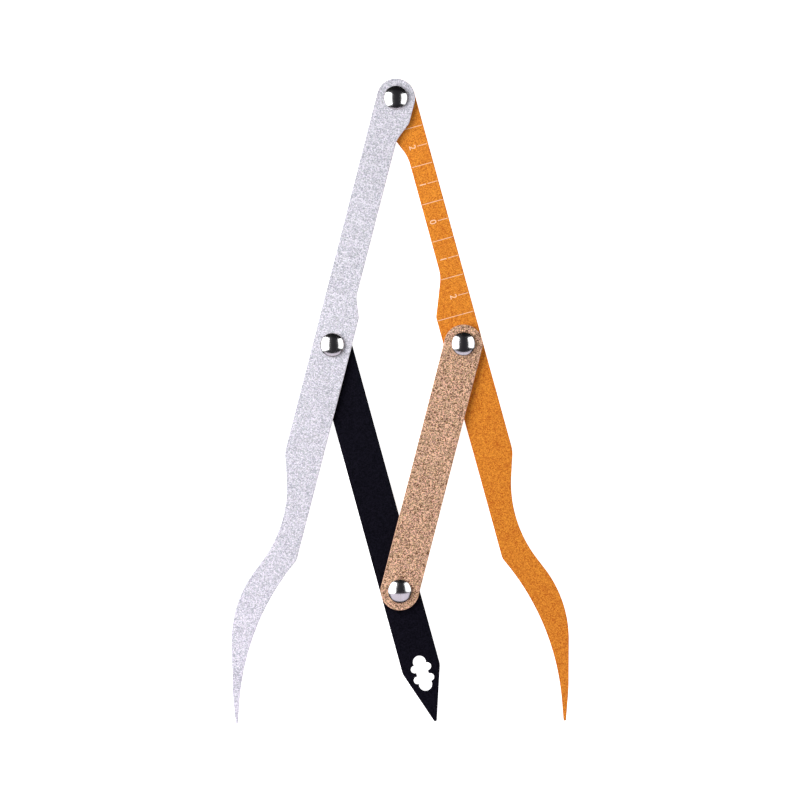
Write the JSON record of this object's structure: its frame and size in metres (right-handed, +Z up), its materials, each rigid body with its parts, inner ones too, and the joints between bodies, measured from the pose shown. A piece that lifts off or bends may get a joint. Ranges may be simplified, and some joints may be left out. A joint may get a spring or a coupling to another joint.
{
  "type": "eyebrow mapping ruler",
  "caption": "Flat riveted aluminium divider for mapping eyebrows: bent outer arms, a straight middle arm and a short link form a rhombus, with an engraved centimetre scale.",
  "frame": {"origin": "on the main pivot's axis, on the flat crown of its rear cap, which the tool lies on", "axes": "+Z up, out of the face with the scale; -Y from the main pivot towards the three tips; -X towards the silver arm"},
  "size_m": [0.0872, 0.1665, 0.0054],
  "materials": {
    "silver_anodised": "bead-blasted, clear anodised",
    "orange_anodised": "bead-blasted, orange anodised",
    "black_anodised": "bead-blasted, black anodised",
    "rose_gold_anodised": "bead-blasted, rose gold anodised",
    "chrome_plate": "polished chrome plate",
    "nickel_plated_steel": "nickel plated"
  },
  "bodies": {
    "orange_arm": {"orange_arm": "orange_anodised", "main_pivot_front_cap": "chrome_plate", "main_pivot_rear_cap": "chrome_plate", "main_pivot_socket": "nickel_plated_steel", "main_pivot_post": "nickel_plated_steel", "right_pivot_front_cap": "chrome_plate", "right_pivot_rear_cap": "chrome_plate", "right_pivot_socket": "nickel_plated_steel", "right_pivot_post": "nickel_plated_steel"},
    "silver_arm": {"silver_arm": "silver_anodised", "left_pivot_front_cap": "chrome_plate", "left_pivot_rear_cap": "chrome_plate", "left_pivot_socket": "nickel_plated_steel", "left_pivot_post": "nickel_plated_steel"},
    "black_arm": {"black_arm": "black_anodised"},
    "rose_link": {"rose_link": "rose_gold_anodised", "lower_pivot_front_cap": "chrome_plate", "lower_pivot_rear_cap": "chrome_plate", "lower_pivot_socket": "nickel_plated_steel", "lower_pivot_post": "nickel_plated_steel"}
  },
  "joints": [
    {"name": "main_pivot", "type": "hinge", "parent": "orange_arm", "child": "silver_arm", "pos_m": [0, 0, 0.0024], "axis": [0, 0, -1], "range_deg": [-20.8, 140]},
    {"name": "left_pivot", "type": "hinge", "parent": "silver_arm", "child": "black_arm", "pos_m": [-0.01697, -0.06378, 0.0024], "axis": [0, 0, -1], "range_deg": [-140, 20.8]},
    {"name": "right_pivot", "type": "hinge", "parent": "orange_arm", "child": "rose_link", "pos_m": [0.01697, -0.06378, 0.0024], "axis": [0, 0, -1], "range_deg": [-20.8, 140]}
  ],
  "couplings": [
    {"joint": "left_pivot", "follows": "main_pivot", "ratio": -1},
    {"joint": "right_pivot", "follows": "main_pivot", "ratio": 1}
  ]
}
